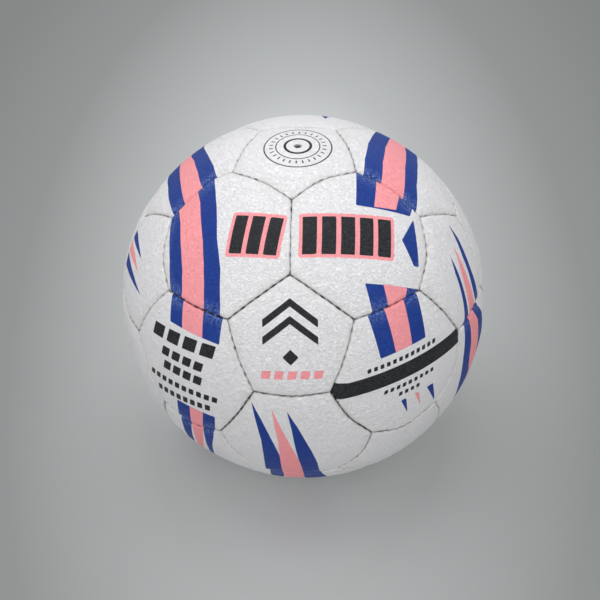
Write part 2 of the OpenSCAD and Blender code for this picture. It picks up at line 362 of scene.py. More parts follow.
PRINTS["hexagon_lower_2"] = band(
    [(-13.5, 40), (-13, 32.7), (-14.8, 24), (-16.8, 14), (-17.3, 7), (-17.2, -2), (-16.3, -8),
     (-13, -18), (-10, -27), (-8, -40)],
    [(-7, 40), (-7, 31.5), (-7.5, 20), (-9, 10), (-8, 3), (-4.5, -5), (-1, -14), (1, -26),
     (2, -40)],
    [(-0.6, 40), (-0.4, 32.3), (3.5, 24.6), (3.8, 14.6), (4.5, 6), (7, -3), (10, -14), (12, -26),
     (13, -40)],
    [(5, 40), (6.2, 31.5), (11.5, 23), (13, 14.6), (14.5, 5), (17.5, -5), (20, -16), (22, -27),
     (23, -40)])
PRINTS["pentagon_lower_5"] = {
    "blue": [flash((-22, -20), [(-14, -6), (-11.5, 0), (-8, 15), (-6.8, 25), (-6.5, 32)],
                   [(-10, -7), (-6.5, 0), (-2.5, 13), (0.8, 25), (1.5, 32)]),
             flash((-6, -24), [(-1.5, -12.5), (3, 0), (6.5, 14), (8.4, 25), (9, 32)],
                   [(1, -12), (5.5, -2), (9, 8), (13, 18), (15.5, 26), (16.5, 32)])],
    "pink": [flash((-13, -20), [(-9, -8), (-4.5, 0), (-1, 13), (0.6, 25), (1, 32)],
                   [(-5, -10), (0, 0), (5.5, 14), (8.4, 25), (9, 32)])]}
PRINTS["hexagon_base_1"] = {
    "blue": [flash((-14, -16), [(-15.8, 4), (-15.8, 22), (-15.6, 40)],
                   [(-11, 4), (-9, 22), (-8, 40)]),
             flash((5, -18), [(3, 0), (1.5, 20), (1, 40)],
                   [(10, 0), (13, 18), (10.8, 34), (10.8, 40)])],
    "pink": [flash((-4, -17), [(-6.5, 2), (-8.6, 22), (-9, 40)], [(-1, 2), (1.6, 22), (2, 40)])]}
print("panels with prints of their own:", len(PRINTS))

# %% [markdown]
# The two bands go on round the back of the ball, where the photograph doesn't show them. There a
# path over the ball is simpler than panel by panel: points of polar angle and azimuth, joined
# smoothly, with the band at a set distance to both sides. Each panel prints its share of it. The
# other hidden panels repeat the flashes of the front.

# %% Bands and flashes at the back
# Each band's middle line as (polar angle, azimuth) in degrees, before the pattern's lean
BACK_BANDS = [
    [(44, 146), (50, 134), (60, 124), (75, 117), (95, 113), (115, 110), (128, 106)],
    [(40, 42), (47, 52), (58, 62), (75, 69), (95, 73), (110, 74)],
]
BACK_PANELS = ["pentagon_upper_3", "pentagon_upper_4", "hexagon_upper_2", "hexagon_upper_3",
               "hexagon_upper_4", "hexagon_lower_3", "hexagon_lower_4", "pentagon_lower_3"]
PATH_STEPS, SMOOTHING = 240, 20
# Half widths of the two colours, and a depth that is far outside any print, in mm
PINK_HALF, BLUE_HALF = 6.0, 15.0
NO_INK = -20.0
PRINTS["pentagon_lower_2"] = PRINTS["pentagon_upper_2"]
for name in ("hexagon_base_3", "hexagon_base_5"):
    PRINTS[name] = PRINTS["hexagon_lower_1"]


def on_ball(polar, azimuth):
    polar, azimuth = np.radians(polar), np.radians(azimuth)
    return np.stack([np.sin(polar) * np.cos(azimuth), np.sin(polar) * np.sin(azimuth),
                     np.cos(polar)], axis=-1)


def band_path(points):
    """Even steps along a smooth path over the ball, and the direction across it at each."""
    polar, azimuth = np.array(points, float).T
    at = np.arange(len(points))
    fine = np.linspace(0, len(points) - 1, PATH_STEPS)
    path = unit(on_ball(np.interp(fine, at, polar), np.interp(fine, at, azimuth)))
    window = np.hanning(2 * SMOOTHING + 1)
    padded = np.pad(path, ((SMOOTHING, SMOOTHING), (0, 0)), mode="reflect", reflect_type="odd")
    path = unit(np.stack([np.convolve(c, window / window.sum(), "valid") for c in padded.T], 1))
    path = path @ LEAN.T
    return path, unit(np.cross(path, np.gradient(path, axis=0)))


def band_distance(directions, path, across):
    """For each direction, mm aside from a band's middle line and mm short of the band's end."""
    near = np.argmax(directions @ path.T, axis=1)
    aside = BALL_R * np.einsum("ij,ij->i", directions, across[near])
    ahead = np.cross(across, path)
    ends = np.where(near == 0, -1.0, np.where(near == len(path) - 1, 1.0, 0.0))
    short = -BALL_R * ends * np.einsum("ij,ij->i", directions, ahead[near])
    return aside, np.where(ends == 0, -NO_INK, short)


back_paths = [band_path(points) for points in BACK_BANDS]
print("bands at the back:", len(back_paths))


# %% How deep each vertex lies in each ink
def flat_places(local):
    """Directions in a panel's own frame as flat millimetres on it, to the right and up."""
    angle = np.arccos(np.clip(local[:, 2], -1, 1))
    spread = BALL_R * angle / np.maximum(np.hypot(local[:, 0], local[:, 1]), 1e-9)
    return np.stack([local[:, 1] * spread, -local[:, 0] * spread], axis=1)


def depth_inside(points, outline):
    """How far flat points lie inside an outline, in mm: negative outside it."""
    corners = np.array(outline, float)
    nearest = np.full(len(points), np.inf)
    inside = np.zeros(len(points), bool)
    for start, end in zip(corners, np.roll(corners, -1, axis=0)):
        run = end - start
        share = np.clip((points - start) @ run / (run @ run), 0, 1)
        nearest = np.minimum(nearest, np.linalg.norm(points - start - share[:, None] * run, axis=1))
        crossed = (start[1] > points[:, 1]) != (end[1] > points[:, 1])
        rise = run[1] if run[1] else 1.0
        inside ^= crossed & (points[:, 0] < start[0] + (points[:, 1] - start[1]) * run[0] / rise)
    return np.where(inside, nearest, -nearest)


# How far the pink rim of a boxed bar goes past its black, in mm
BOX_RIM = 1.7


def ink_depths(shape, directions):
    """For each ink, how deep every vertex of a panel lies in it."""
    flat = flat_places(directions @ shape.place)
    prints = PRINTS.get(shape.name, {})
    inks = {}
    for ink in ("blue", "pink", "black", "boxed"):
        found = [depth_inside(flat, outline) for outline in prints.get(ink, [])]
        inks[ink] = np.max(found + [np.full(len(flat), NO_INK)], axis=0)
    inks["pink"] = np.maximum(inks["pink"], inks["boxed"] + BOX_RIM)
    inks["black"] = np.maximum(inks["black"], inks.pop("boxed"))
    if shape.name in BACK_PANELS:
        for path, across in back_paths:
            aside, short = band_distance(directions, path, across)
            for ink, half in (("blue", BLUE_HALF), ("pink", PINK_HALF)):
                inks[ink] = np.maximum(inks[ink], np.minimum(half - np.abs(aside), short))
    return inks


# %% [markdown]
# ## The cover panels
#
# Each panel is a piece of synthetic leather whose edges turn in and are sewn to their
# neighbours. Between two stitches the seam opens a little, at a stitch the thread pulls both
# edges down and together, and the air inside pillows the leather between the seams.
#
# Sculpting or a simulation could do this, but a rule is exact and gives the same result each
# time: we lay rings of points from the panel's middle to its edge, and sink each point by its
# distance from the seam and by its place between two stitches. The same rings go on down the
# turned-in edge and back along the inside, so every panel is a closed skin of real thickness.

# %% Sizes of the sewn edge
# Points along a seam; then lengths in mm: the space between a panel's rings, which lie closer
# together near its edge, and the space between stitches
COLUMNS = 64
RING_STEP = 0.8
NEAR_EDGE = [0, 0.05, 0.14, 0.28, 0.46, 0.7, 1.0, 1.35, 1.75, 2.2, 2.7, 3.3, 4.0, 4.8, 5.7, 6.6]
STITCH_STEP = 4.7
STITCHES = 8
# Half the gap of a closed seam, what opening adds to it, and how far the seam's line strays
GAP_TIGHT, GAP_OPEN = 0.05, 0.3
WANDER = 0.2
# How wide or far from the seam each part of the relief reaches, and how deep it goes
SHOULDER_WIDE, SHOULDER_DROP = 1.9, 0.95
PUCKER_DROP, PUCKER_REACH = 0.3, 2.2
PILLOW_DROP, PILLOW_REACH = 0.40, 6.0
# The reach of the painted shade in an open seam, the share of the opening and of its painted shade
# that a stitch leaves, and how fast an opening closes towards its stitches
SHADE_REACH = 0.48
ALWAYS_OPEN = 0.62
OPENING_POWER = 1.5
# How round the corners are, and the share of the true distance that is kept there
CORNER_ROUND, CORNER_KEEP = 0.45, 0.4
# The leather's thickness, and the radius at which its turned-in edge ends
SKIN = 1.6
HEM_R = 89.1

# How open the other seams are, and how strong the openings between two stitches
OPENNESS_RANGE, OPENING_RANGE = (0.1, 0.9), (0.1, 1.0)
# The waves in a seam's line: (length in stitches, weight)
WANDER_WAVES = ((1.0, 0.4), (0.61, 0.35), (2.9, 0.5))
Sewing = namedtuple("Sewing", "share openings phases")


def sewing(seam, chance):
    """How open a seam is, how strong each opening between stitches is, and its line's waves."""
    share = noted(seam)[3]
    by_chance = chance.uniform(*OPENNESS_RANGE)
    share = by_chance if share is None else share
    openings = chance.uniform(*OPENING_RANGE, STITCHES + 1)
    return Sewing(share, openings, chance.uniform(0, 2 * math.pi, len(WANDER_WAVES)))


seam_chance = np.random.default_rng(21)
SEWN = {key: sewing(seam, seam_chance) for key, seam in SEAMS.items()}
print("points along a seam:", COLUMNS, "and seams sewn:", len(SEWN))

# %% Swells of the leather
SWELL_COUNT, SWELL_FADE = 14, 6.0
SWELL_WAVES, SWELL_HEIGHTS = (3, 11), (0.03, 0.09)
swell_chance = np.random.default_rng(5)
SWELLS = [(unit(swell_chance.normal(size=3)) * swell_chance.uniform(*SWELL_WAVES),
           swell_chance.uniform(0, 2 * math.pi), swell_chance.uniform(*SWELL_HEIGHTS))
          for _ in range(SWELL_COUNT)]
print("highest swell in mm:", round(max(height for _, _, height in SWELLS), 3))


def swell(directions):
    """Slow rise and fall of the blown-up cover, in mm."""
    return sum(height * np.sin(directions @ wave + phase) for wave, phase, height in SWELLS)


# %% The sewn edge of a panel
def opening(along):
    """How open a seam is: 0 at a stitch and 1 halfway between two."""
    return 0.5 + 0.5 * np.cos(2 * math.pi * along / STITCH_STEP)


def open_share(sewn, along):
    """How open a seam is at each place along it: little at a stitch, most halfway between two."""
    number = np.clip(np.round(along / STITCH_STEP).astype(int) + STITCHES // 2, 0, STITCHES)
    closed = ALWAYS_OPEN * sewn.share**2
    return closed + (1 - closed) * sewn.openings[number] * opening(along) ** OPENING_POWER


def wander(sewn, along):
    """How far the seam's line strays sideways, in mm; it keeps to its place at the corners."""
    waves = sum(np.sin(2 * math.pi * along / (length * STITCH_STEP) + phase) * weight
                for (length, weight), phase in zip(WANDER_WAVES, sewn.phases))
    half = SEAM_ANGLE * BALL_R / 2
    return WANDER * waves * (1 - (along / half) ** 4)


def edge_columns(shape):
    """The edge of a panel: its points as seen from the ball's centre on a flat sheet, their
    places along their seams, half the gap of the seam there, and how strong the painted shade in
    the gap is."""
    slope = side_slope(shape)
    alpha = SEAM_ANGLE * (np.arange(COLUMNS) / COLUMNS - 0.5)
    points, along, gaps, marks = [], [], [], []
    for angle, (middle, _, _) in zip(side_turns(shape), side_frames(shape)):
        out = np.array([math.cos(angle), math.sin(angle)])
        across = np.array([-out[1], out[0]])
        points.append(math.tan(slope) * out + (np.tan(alpha) / math.cos(slope))[:, None] * across)
        along.append(alpha * BALL_R)
        key = seam_key(middle)
        side = 1 if SEAMS[key].panels[0] == shape.name else -1
        sewn, place = SEWN[key], side * along[-1]
        open_here = open_share(sewn, place)
        half_gap = (GAP_TIGHT + GAP_OPEN * open_here) * sewn.share**0.5
        gaps.append(half_gap + side * wander(sewn, place))
        # The strength of the painted shade in the seam's gap.
        marks.append(open_here * sewn.share)
    return (np.concatenate(part) for part in (points, along, gaps, marks))


def seam_distance(shape, directions):
    """Distance in mm from the nearest seam: rounded where two seams meet, and plain."""
    planes = np.array([shape.place.T @ inward for _, inward, _ in side_frames(shape)])
    reach = BALL_R * np.arcsin(np.clip(directions @ planes.T, -1, 1))
    plain = reach.min(axis=1)
    others = np.exp(-(reach - plain[:, None]) / CORNER_ROUND).sum(axis=1)
    return plain - CORNER_ROUND * np.log(others), plain


def sewn_height(distance, gap, along):
    """How far the sewn leather lies below the full ball, at a distance from the seam."""
    run = np.clip((distance - gap) / SHOULDER_WIDE, 0, 1)
    shoulder = SHOULDER_DROP * (1 - np.sqrt(1 - (1 - run) ** 2))
    pillow = PILLOW_DROP * np.exp(-distance / PILLOW_REACH)
    pucker = PUCKER_DROP * (1 - opening(along)) * np.exp(-distance / PUCKER_REACH)
    return -(shoulder + pillow + pucker)


# %% Rings of points on one panel
VALVE_HOLE = 3.8
# The rounded rim of the valve's hole: (mm out from its wall, mm below the leather)
HOLE_RIM = [(0.0, 0.6), (0.08, 0.33), (0.25, 0.15), (0.5, 0.05)]
# The turned-in edge: (share of the way down, mm from the seam)
HEM_RINGS = ((0.3, 0.0), (0.65, 0.02), (0.92, 0.1), (1.0, 0.35), (1.0, 1.2), (0.9, 1.5))
# The inside: (mm from the seam, mm below the inside of the skin)
INSIDE_RINGS = ((SKIN, 1.6), (SKIN + 0.6, 0.5), (4, 0.3), (9, 0.1), (16, 0.0))


def lifted(flat):
    """Points of the flat sheet as directions from the ball's centre."""
    return unit(np.concatenate([flat, np.ones((len(flat), 1))], axis=1))


def valve_rim(shape, centre, hole):
    """Rings up the wall of the valve's hole and over its rim, with their radii."""
    rim = []
    for out, drop in HOLE_RIM:
        local = lifted(centre + hole * (1 + out * 2 / VALVE_HOLE))
        plain = seam_distance(shape, local)[1]
        rim.append((local, np.full(len(local), BALL_R - drop), plain))
    return [(rim[0][0], np.full(len(hole), BALL_R - SKIN), rim[0][2])] + rim


def panel_rings(shape):
    """Rings of directions, radii and distances from the seam, from the middle of the outside
    round the edge to the middle of the inside, and how strong the painted shade in the gap is
    beside each column."""
    edge, along, gap, mark = edge_columns(shape)
    reach = BALL_R * side_slope(shape)
    centre = np.zeros(2)
    hole = np.zeros_like(edge)
    rim = []
    if shape.name == "pentagon_valve":
        axis = shape.place[2]
        centre = axis[:2] / axis[2]
        hole = unit(edge - centre) * VALVE_HOLE / 2 / BALL_R
        rim = valve_rim(shape, centre, hole)
    edge = edge - centre

    def ring(distance, radius=None):
        """A ring at a distance in mm inside the sewn edge; radius None is the sewn surface."""
        inner = edge * (1 - gap / reach)[:, None]
        flat = centre + hole + (inner - hole) * (1 - distance / (reach - gap))[:, None]
        local = lifted(flat)
        soft, plain = seam_distance(shape, local)
        sunk = sewn_height(np.maximum(soft, plain * CORNER_KEEP), gap, along)
        return local, BALL_R + sunk if radius is None else np.full(len(flat), radius), plain

    steps = np.linspace(NEAR_EDGE[-1], reach, int((reach - NEAR_EDGE[-1]) / RING_STEP) + 1)[1:-1]
    rings = rim + [ring(distance) for distance in np.concatenate([NEAR_EDGE, steps])[::-1]]
    edge_radius = rings[-1][1]
    for share, inset in HEM_RINGS:
        local, _, plain = ring(inset)
        rings.append((local, edge_radius + share * (HEM_R - edge_radius), plain))
    rings += [ring(inset, BALL_R - SKIN - drop) for inset, drop in INSIDE_RINGS]
    return rings, mark, bool(rim)


# %% Build one panel
def ring_faces(rings, columns, pierced):
    """Faces from each ring to the next. Those of a pierced panel go once round and close; any
    other panel ends in two fans, to a point on the outside and to one on the inside."""
    row = np.arange(columns)
    after = np.roll(row, -1)
    faces = []
    for k in range(rings if pierced else rings - 1):
        low, high = k * columns, (k + 1) % rings * columns
        faces.append(np.stack([low + row, high + row, high + after, low + after], axis=1))
    faces = np.concatenate(faces).tolist()
    if not pierced:
        last, top, bottom = (rings - 1) * columns, rings * columns, rings * columns + 1
        faces += [[top, one, two] for one, two in zip(row, after)]
        faces += [[last + one, bottom, last + two] for one, two in zip(row, after)]
    return faces


def panel_mesh(shape):
    """Closed skin of one panel, with its inks and its distance from the seam on the vertices."""
    rings, mark, pierced = panel_rings(shape)
    local, radius, distance = (np.concatenate(part) for part in zip(*rings))
    # How strong the painted shade in the seam's gap is at each vertex.
    shade = np.tile(mark, len(rings)) * np.exp(-((distance / SHADE_REACH) ** 2))
    if not pierced:
        local = np.concatenate([local, [(0, 0, 1), (0, 0, 1)]])
        radius = np.append(radius, [BALL_R, BALL_R - SKIN])
        distance = np.append(distance, [SEAM_ANGLE * BALL_R / 2] * 2)
        shade = np.append(shade, [0, 0])
    world = bowed(local @ shape.place.T)
    points = world * (radius + swell(world) * np.clip(distance / SWELL_FADE, 0, 1))[:, None]
    values = {**ink_depths(shape, world), "seam": distance, "gap_shade": shade}
    return points, ring_faces(len(rings), len(mark), pierced), values


# %% Turn points and faces into a piece
def new_object(name, data):
    made = bpy.data.objects.new(name, data)
    bpy.context.scene.collection.objects.link(made)
    return made


def piece(name, points, faces, values=()):
    """A smooth mesh object from points in mm, with a number on every vertex for each name."""
    mesh = bpy.data.meshes.new(name)
    mesh.from_pydata((points / 1000).tolist(), [], faces)
    for key, numbers in dict(values).items():
        attribute = mesh.attributes.new(key, "FLOAT", "POINT")
        attribute.data.foreach_set("value", numbers.astype(np.float32))
    mesh.shade_smooth()
    mesh.update()
    return new_object(name, mesh)


cover = {}
for shape in PANELS:
    cover[shape.name] = piece("cover_" + shape.name, *panel_mesh(shape))
print("faces of the cover:", sum(len(made.data.polygons) for made in cover.values()))

# %% [markdown]
# ## The stitches
#
# Waxed thread joins the panels from the inside, and only a short bite of it shows at each
# stitch, deep between the two shoulders. There are 720 of them, all alike and all on a path, so
# Geometry Nodes make them: a point for each stitch carries its directions out of the ball and
# across the seam, and the tree sets one bite of thread on every point, slightly uneven.


# %% Where the stitches lie
# How deep a bite lies, in mm, and the small angle over which a seam's direction is measured
THREAD_SINK = 2.1
NUDGE = 0.005


def stitch_points(pentagon_seams):
    """For each stitch: its place in mm, the way out of the ball and the way across its seam."""
    spots, outs, acrosses = [], [], []
    offsets = (np.arange(STITCHES) - (STITCHES - 1) / 2) * STITCH_STEP / BALL_R
    for seam in SEAMS.values():
        if any("pentagon" in name for name in seam.panels) != pentagon_seams:
            continue
        for offset in offsets:
            angles = np.array([offset - NUDGE, offset, offset + NUDGE])[:, None]
            before, here, after = bowed(np.cos(angles) * seam.middle + np.sin(angles) * seam.along)
            spots.append(here * (BALL_R - THREAD_SINK))
            outs.append(here)
            acrosses.append(unit(np.cross(here, after - before)))
    return np.array(spots), {"out": np.array(outs), "across": np.array(acrosses)}


# %% Helpers for node trees
def put(tree, kind, inputs=(), **settings):
    """Adds a node with its settings. Each input is either linked to a socket or set to a value."""
    made = tree.nodes.new(kind)
    for name, value in settings.items():
        setattr(made, name, value)
    for key, value in dict(inputs).items():
        if isinstance(value, bpy.types.NodeSocket):
            tree.links.new(value, made.inputs[key])
        else:
            made.inputs[key].default_value = value
    return made


def take(tree, kind, inputs=(), output=0, **settings):
    """Adds a node and gives one of its outputs."""
    return put(tree, kind, inputs, **settings).outputs[output]


# %% The stitch tree
def stitch_tree():
    tree = bpy.data.node_groups.new("sew_bites", "GeometryNodeTree")
    face = tree.interface
    face.new_socket("Geometry", in_out="INPUT", socket_type="NodeSocketGeometry")
    face.new_socket("Geometry", in_out="OUTPUT", socket_type="NodeSocketGeometry")
    sizes = (("Thread diameter", "Float"), ("Bite length", "Float"), ("Unevenness", "Float"),
             ("Seed", "Int"), ("Thread", "Material"))
    for name, kind in sizes:
        face.new_socket(name, in_out="INPUT", socket_type="NodeSocket" + kind)
    given = put(tree, "NodeGroupInput").outputs
    thick = given["Thread diameter"]
    vector = {"data_type": "FLOAT_VECTOR"}
    out = take(tree, "GeometryNodeInputNamedAttribute", {"Name": "out"}, **vector)
    across = take(tree, "GeometryNodeInputNamedAttribute", {"Name": "across"}, **vector)
    stand = take(tree, "FunctionNodeAxesToRotation", {0: out, 1: across},
                 primary_axis="Z", secondary_axis="X")
    tilt = take(tree, "FunctionNodeRandomValue",
                {0: (-1, -1, -1), 1: (1, 1, 1), "Seed": given["Seed"]}, **vector)
    tilt = take(tree, "ShaderNodeVectorMath", {0: tilt, "Scale": given["Unevenness"]},
                operation="SCALE")
    stand = take(tree, "FunctionNodeRotateRotation", {0: stand, 1: tilt}, rotation_space="LOCAL")
    size = take(tree, "ShaderNodeCombineXYZ", {0: given["Bite length"], 1: thick, 2: thick})
    bite = take(tree, "GeometryNodeMeshUVSphere", {"Segments": 10, "Rings": 7, "Radius": 0.5})
    bite = take(tree, "GeometryNodeTransform", {"Geometry": bite, "Scale": size})
    bite = take(tree, "GeometryNodeSetShadeSmooth", {"Geometry": bite, "Shade Smooth": True})
    rows = take(tree, "GeometryNodeInstanceOnPoints",
                {"Points": given["Geometry"], "Instance": bite, "Rotation": stand})
    rows = take(tree, "GeometryNodeRealizeInstances", {0: rows})
    rows = take(tree, "GeometryNodeSetMaterial", {0: rows, "Material": given["Thread"]})
    put(tree, "NodeGroupOutput", {0: rows})
    return tree


sew_bites = stitch_tree()
print("inputs of the stitch tree:", [item.name for item in sew_bites.interface.items_tree][2:])

# %% [markdown]
# ## Materials
#
# The cover is white synthetic leather: a fine pebbled grain pressed into a slightly shiny
# polyurethane skin, with inks printed on it. One material serves all the panels, because the
# inks come from the numbers on each panel's own vertices. The grain is made of small rounded
# cells crossed by finer wrinkles, both longer round the ball than up it, and it goes into the
# bump, the roughness, painted shade in its creases and a painted sheen on the black ink. The
# open gaps of the seams get painted shade, the white beside them is creamier and darker, partly
# a tint and partly painted shade, and where the leather is bent over the shoulder the blue ink
# gets fine pale cracks, partly crazed ink and partly painted glints.


# %% Helpers for materials
def linear(red, green, blue):
    """A colour as the screen shows it, from 0 to 255, as the linear light that Blender wants."""
    channels = np.array([red, green, blue]) / 255
    light = np.where(channels <= 0.04045, channels / 12.92, ((channels + 0.055) / 1.055) ** 2.4)
    return (*(float(value) for value in light), 1.0)


def new_material(name):
    """A material, its empty tree, and the place on the piece in metres, for its patterns."""
    made = bpy.data.materials.new(name)
    made.use_nodes = True
    made.node_tree.nodes.clear()
    return made, made.node_tree, take(made.node_tree, "ShaderNodeTexCoord", output="Object")


def surface(tree, colour, rough, specular=0.5, height=None, strength=1.0, depth=0.0):
    """The end of a material. A height from 0 to 1 makes a bump of the depth, in metres."""
    inputs = {"Base Color": colour, "Roughness": rough, "Specular IOR Level": specular}
    if height is not None:
        inputs["Normal"] = take(tree, "ShaderNodeBump",
                                {"Strength": strength, "Distance": depth, "Height": height})
    shader = take(tree, "ShaderNodeBsdfPrincipled", inputs)
    put(tree, "ShaderNodeOutputMaterial", {"Surface": shader})


def ramp(tree, value, low, high, start=0.0, end=1.0):
    """The value's share of the way from low to high, eased at both ends."""
    return take(tree, "ShaderNodeMapRange", {0: value, 1: low, 2: high, 3: start, 4: end},
                interpolation_type="SMOOTHSTEP")


def math_node(tree, operation, *values):
    return take(tree, "ShaderNodeMath", dict(enumerate(values)), operation=operation)


def times(tree, *values):
    return math_node(tree, "MULTIPLY", *values)


def vector_node(tree, operation, *values, output=0):
    return take(tree, "ShaderNodeVectorMath", dict(enumerate(values)), output, operation=operation)


def off_from(tree, value, middle):
    """How far a value lies from the middle, on either side."""
    return math_node(tree, "ABSOLUTE", math_node(tree, "SUBTRACT", value, middle))


def flat_radius(tree, spot, scale=1):
    """Distance from the upright axis, in metres times the scale."""
    flat = vector_node(tree, "MULTIPLY", spot, (scale, scale, 0))
    return vector_node(tree, "LENGTH", flat, output="Value")


def noise(tree, spot, scale, detail, output="Fac", **more):
    inputs = {"Vector": spot, "Scale": scale, "Detail": detail, **more}
    return take(tree, "ShaderNodeTexNoise", inputs, output)


def blend(tree, share, under, over):
    """Paints the second colour over the first by a share."""
    return take(tree, "ShaderNodeMix", {0: share, 6: under, 7: over}, 2, data_type="RGBA")


def stored(tree, name):
    """A number that the vertices carry."""
    return take(tree, "ShaderNodeAttribute", output="Fac", attribute_name=name,
                attribute_type="GEOMETRY")


# %% Grain of the leather
# Cells and wrinkles in a metre, how the pattern is squeezed along each axis, and its depth in m
GRAIN_SCALE, WRINKLE_SCALE, SHIFT_SCALE = 900.0, 720.0, 420.0
WRINKLE_STRETCH = (0.8, 0.8, 1.8)
SHIFT_SHARE = 0.0016
GRAIN_DEPTH = 0.00018
SKIN_GLOSS = 0.28


def leather_grain(tree, spot):
    """Height of the pressed grain, from 0 to 1, and its creases, 0 in one and 1 beside it."""
    longer = vector_node(tree, "MULTIPLY", spot, WRINKLE_STRETCH)
    shift = noise(tree, longer, SHIFT_SCALE, 2.0, "Color")
    bent = take(tree, "ShaderNodeMix", {0: SHIFT_SHARE, 4: longer, 5: shift}, 1, data_type="VECTOR")
    cells = take(tree, "ShaderNodeTexVoronoi",
                 {"Vector": bent, "Scale": GRAIN_SCALE, "Smoothness": 0.35}, "Distance",
                 feature="SMOOTH_F1")
    wrinkles = noise(tree, longer, WRINKLE_SCALE, 3.0, Roughness=0.6, Distortion=1.2)
    pebbles = ramp(tree, cells, 0.0, 0.75, 1.0, 0.0)
    creases = ramp(tree, off_from(tree, wrinkles, 0.5), 0.0, 0.07)
    return math_node(tree, "MULTIPLY_ADD", creases, 0.6, times(tree, pebbles, 0.4)), creases


# %% Inks of the leather
# The cream is partly a tint of the leather and partly painted shade beside the seams.
WHITE, COOLER, CREAM_AND_SHADE = linear(236, 235, 236), linear(214, 212, 214), linear(222, 218, 211)
# The pale crazed blue is partly cracked ink and partly painted glints off the bent leather.
BLUE, PALER_BLUE, CRAZE_AND_GLINT = linear(2, 52, 140), linear(30, 74, 160), linear(150, 170, 212)
# The grey on the black ink is a painted sheen.
BLACK, SHEEN_BLACK = linear(20, 22, 26), linear(84, 86, 92)
# The pink is print; the crease grey is painted shade in the grain's creases, and the near black is
# painted shade in the open gaps of the seams.
PINK, CREASE_SHADE, GAP_SHADE = linear(255, 162, 167), linear(176, 174, 179), linear(34, 33, 36)
GAP_SHADE_STRENGTH = 1.9
# How fine each kind of noise is: patterns in a metre
MOTTLE_SCALE, PATCH_SCALE, CRACK_SCALE = 60.0, 160.0, 620.0
# In mm: half the softness of an ink's border, then (radius, half width) of the valve's rings
INK_BORDER = 0.1
VALVE_RINGS = [(16.8, 0.33), (10.9, 0.27), (6.45, 0.68)]
TICK_RING = (13.3, 1.0)
TICK_COUNT, TICK_EDGE = 26, (0.14, 0.08)
# Between these heights, in metres, the rings' ink starts: there is none on the underside
RINGS_ABOVE = (0.05, 0.06)


def ring_ink(tree, radius, middle, half):
    """Ink within half a ring's width of its middle radius."""
    return ramp(tree, off_from(tree, radius, middle), half + INK_BORDER, half - INK_BORDER)


def valve_rings(tree, spot):
    """Ink of the printed rings round the valve, and of the ticks between them."""
    x, y, z = put(tree, "ShaderNodeSeparateXYZ", {0: spot}).outputs
    radius = flat_radius(tree, spot, 1000)
    turned = times(tree, math_node(tree, "ARCTAN2", y, x), TICK_COUNT / (2 * math.pi))
    beat = off_from(tree, math_node(tree, "FRACT", turned), 0.5)
    ink = times(tree, ring_ink(tree, radius, *TICK_RING), ramp(tree, beat, *TICK_EDGE))
    for middle, half in VALVE_RINGS:
        ink = math_node(tree, "MAXIMUM", ring_ink(tree, radius, middle, half), ink)
    return times(tree, ink, ramp(tree, z, *RINGS_ABOVE))


def white_skin(tree, spot, seam, creases, mottle):
    """White, cooler in patches, creamier and darker by the seams, partly a tint and partly
    painted shade, and darker in its creases by painted shade.
    """
    white = blend(tree, ramp(tree, mottle, 0.3, 0.7, 0.0, 0.05), WHITE, COOLER)
    patchy = ramp(tree, noise(tree, spot, PATCH_SCALE, 3.0), 0.4, 0.65, 0.0, 0.4)
    # Beside the seams: a creamy tint that is partly painted shade.
    white = blend(tree, times(tree, ramp(tree, seam, 6.0, 0.5), patchy), white, CREAM_AND_SHADE)
    # Painted shade in the creases of the grain.
    return blend(tree, ramp(tree, creases, 1.0, 0.0, 0.0, 0.13), white, CREASE_SHADE)


def blue_ink(tree, spot, seam, mottle):
    """Blue, paler in patches, with fine pale cracks beside a seam, partly crazed ink and partly
    painted glints.
    """
    cracks = off_from(tree, noise(tree, spot, CRACK_SCALE, 3.0, Distortion=1.5), 0.52)
    # Where the pale cracks show, strongest beside a seam: partly crazed ink, partly painted glints.
    craze_and_glint_share = ramp(tree, seam, 8.0, 0.5, 0.05, 0.8)
    blue = blend(tree, times(tree, ramp(tree, cracks, 0.05, 0.0), craze_and_glint_share), BLUE, CRAZE_AND_GLINT)
    return blend(tree, ramp(tree, mottle, 0.35, 0.7, 0.0, 0.2), blue, PALER_BLUE)


# %% Leather
def leather():
    made, tree, spot = new_material("white_leather")
    grain, creases = leather_grain(tree, spot)
    seam = stored(tree, "seam")
    mottle = noise(tree, spot, MOTTLE_SCALE, 4.0)
    inks = {}
    for ink in ("blue", "pink", "black"):
        inks[ink] = ramp(tree, stored(tree, ink), -INK_BORDER, INK_BORDER)
    black = math_node(tree, "MAXIMUM", inks["black"], valve_rings(tree, spot))
    # Painted sheen: the black ink lighter in the creases of the grain.
    black_ink = blend(tree, ramp(tree, creases, 1.0, 0.0, 0.0, 0.4), BLACK, SHEEN_BLACK)
    colour = white_skin(tree, spot, seam, creases, mottle)
    colour = blend(tree, inks["blue"], colour, blue_ink(tree, spot, seam, mottle))
    colour = blend(tree, inks["pink"], colour, PINK)
    colour = blend(tree, black, colour, black_ink)
    # Painted shade in the open gaps of the seams, by the strength stored on the vertices.
    colour = blend(tree, times(tree, stored(tree, "gap_shade"), GAP_SHADE_STRENGTH), colour, GAP_SHADE)
    rough = ramp(tree, grain, 0.0, 1.0, 0.56, 0.44)
    surface(tree, colour, rough, specular=SKIN_GLOSS, height=grain, depth=GRAIN_DEPTH)
    return made


leather_material = leather()
for made in cover.values():
    made.data.materials.append(leather_material)
print("nodes in the leather:", len(leather_material.node_tree.nodes))

# %% [markdown]
# The other materials are simpler. The thread is waxed polyester, mottled by its fine fibres. The
# lining is a plain weave of two crossed sets of yarns. The bladder, its patch and the valve are
# moulded rubber: dull, dark and slightly dusty.


# %% Thread, cloth and rubber
FIBRE_SCALE, DUST_SCALE = 3000.0, 700.0
